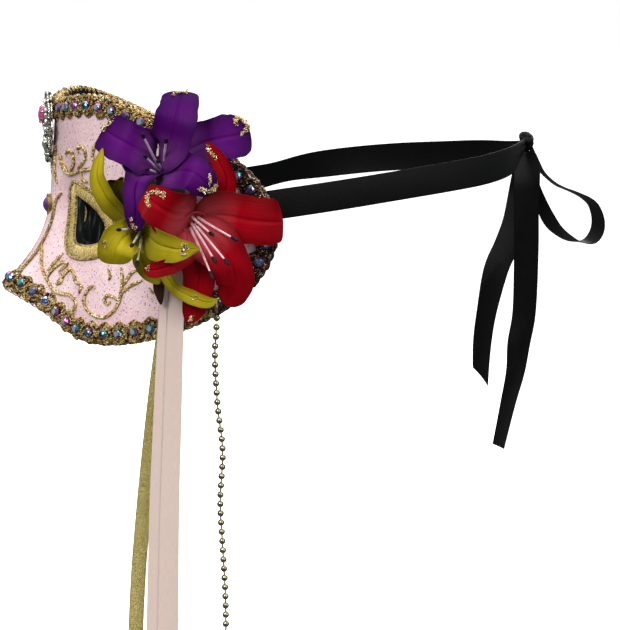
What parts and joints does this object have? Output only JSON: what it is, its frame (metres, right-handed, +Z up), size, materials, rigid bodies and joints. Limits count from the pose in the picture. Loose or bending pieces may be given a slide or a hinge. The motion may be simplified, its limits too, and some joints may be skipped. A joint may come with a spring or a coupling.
{
  "type": "venetian masquerade mask",
  "caption": "Venetian half mask with gimp braid, rhinestones, raised gold scrolls, silk lilies, hanging streamers and satin tie ribbons knotted behind the head.",
  "frame": {"origin": "point on the lining that rests on the bridge of the wearer's nose", "axes": "mask faces -Y, the wearer's left is +X, +Z is up"},
  "size_m": [0.1824, 0.2548, 0.3056],
  "materials": {
    "pink_lacquer": "glossy paint with fine glitter over a moulded shell",
    "black_felt": "matt felt",
    "gold_band": "ribbed metallic thread",
    "gold_cord": "twisted metallic cord",
    "gimp_braid": "looped metallic gimp",
    "rhinestone": "faceted, iridescent coating",
    "gold_relief": "raised glitter cord",
    "antique_silver": "antique silver plate",
    "magenta_gem": "polished",
    "clear_crystal": "faceted",
    "antique_gold": "antique gold",
    "purple_gem": "polished dome",
    "felt_pad": "felt",
    "flower_stem": "matt",
    "purple_silk": "smooth artificial petal",
    "red_silk": "smooth artificial petal",
    "green_silk": "smooth artificial petal",
    "stamen": "matt",
    "brown_leaf": "matt silk",
    "pink_satin": "satin ribbon",
    "gold_lame": "woven metallic mesh",
    "ball_chain_metal": "antique brass",
    "black_satin": "satin ribbon"
  },
  "bodies": {
    "root": {"mask_shell": "pink_lacquer", "lining": "black_felt", "eye_band_left": "gold_band", "eye_band_right": "gold_band", "eye_piping_left": "gold_cord", "eye_piping_right": "gold_cord", "nose_piping": "gold_cord", "braid_top": "gimp_braid", "braid_bottom": "gimp_braid", "braid_side_left": "gimp_braid", "braid_side_right": "gimp_braid", "stones_top": "rhinestone", "stones_bottom": "rhinestone", "stones_side_left": "rhinestone", "stones_side_right": "rhinestone", "forehead_scroll_left": "gold_relief", "forehead_scroll_right": "gold_relief", "cheek_scroll_left": "gold_relief", "cheek_scroll_right": "gold_relief", "brooch_filigree": "antique_silver", "brooch_gem": "magenta_gem", "brooch_crystals": "clear_crystal", "bridge_bezel": "antique_gold", "bridge_gem": "purple_gem", "flower_pad": "felt_pad", "purple_calyx": "flower_stem", "purple_petals_outer": "purple_silk", "purple_petals_inner": "purple_silk", "purple_stamens": "stamen", "red_calyx": "flower_stem", "red_petals_outer": "red_silk", "red_petals_inner": "red_silk", "red_stamens": "stamen", "green_calyx": "flower_stem", "green_petals_outer": "green_silk", "green_petals_inner": "green_silk", "green_stamens": "stamen", "dark_leaf": "brown_leaf", "chain_ring": "antique_gold", "tie_ribbon_left": "black_satin", "tie_ribbon_right": "black_satin", "ribbon_knot": "black_satin", "bow_loop": "black_satin"},
    "pink_streamer": {"pink_ribbon": "pink_satin"},
    "gold_streamer": {"gold_ribbon": "gold_lame"},
    "chain": {"ball_chain": "ball_chain_metal"},
    "long_tail": {"tail_long": "black_satin"},
    "short_tail": {"tail_short": "black_satin"}
  },
  "joints": [
    {"name": "pink_ribbon_swing", "type": "hinge", "parent": "root", "child": "pink_streamer", "pos_m": [0.0742, 0.041, -0.014], "axis": [1, 0, 0], "range_deg": [-20, 15]},
    {"name": "gold_ribbon_swing", "type": "hinge", "parent": "root", "child": "gold_streamer", "pos_m": [0.0693, 0.039, -0.016], "axis": [1, 0, 0], "range_deg": [-25, 3]},
    {"name": "chain_swing", "type": "hinge", "parent": "root", "child": "chain", "pos_m": [0.0779, 0.056, -0.0397], "axis": [1, 0, 0], "range_deg": [-30, 30]},
    {"name": "long_tail_swing", "type": "hinge", "parent": "root", "child": "long_tail", "pos_m": [0.002, 0.1992, 0.0195], "axis": [1, 0, 0], "range_deg": [-30, 10]},
    {"name": "short_tail_swing", "type": "hinge", "parent": "root", "child": "short_tail", "pos_m": [-0.002, 0.199, 0.0195], "axis": [1, 0, 0], "range_deg": [-7, 2]}
  ]
}
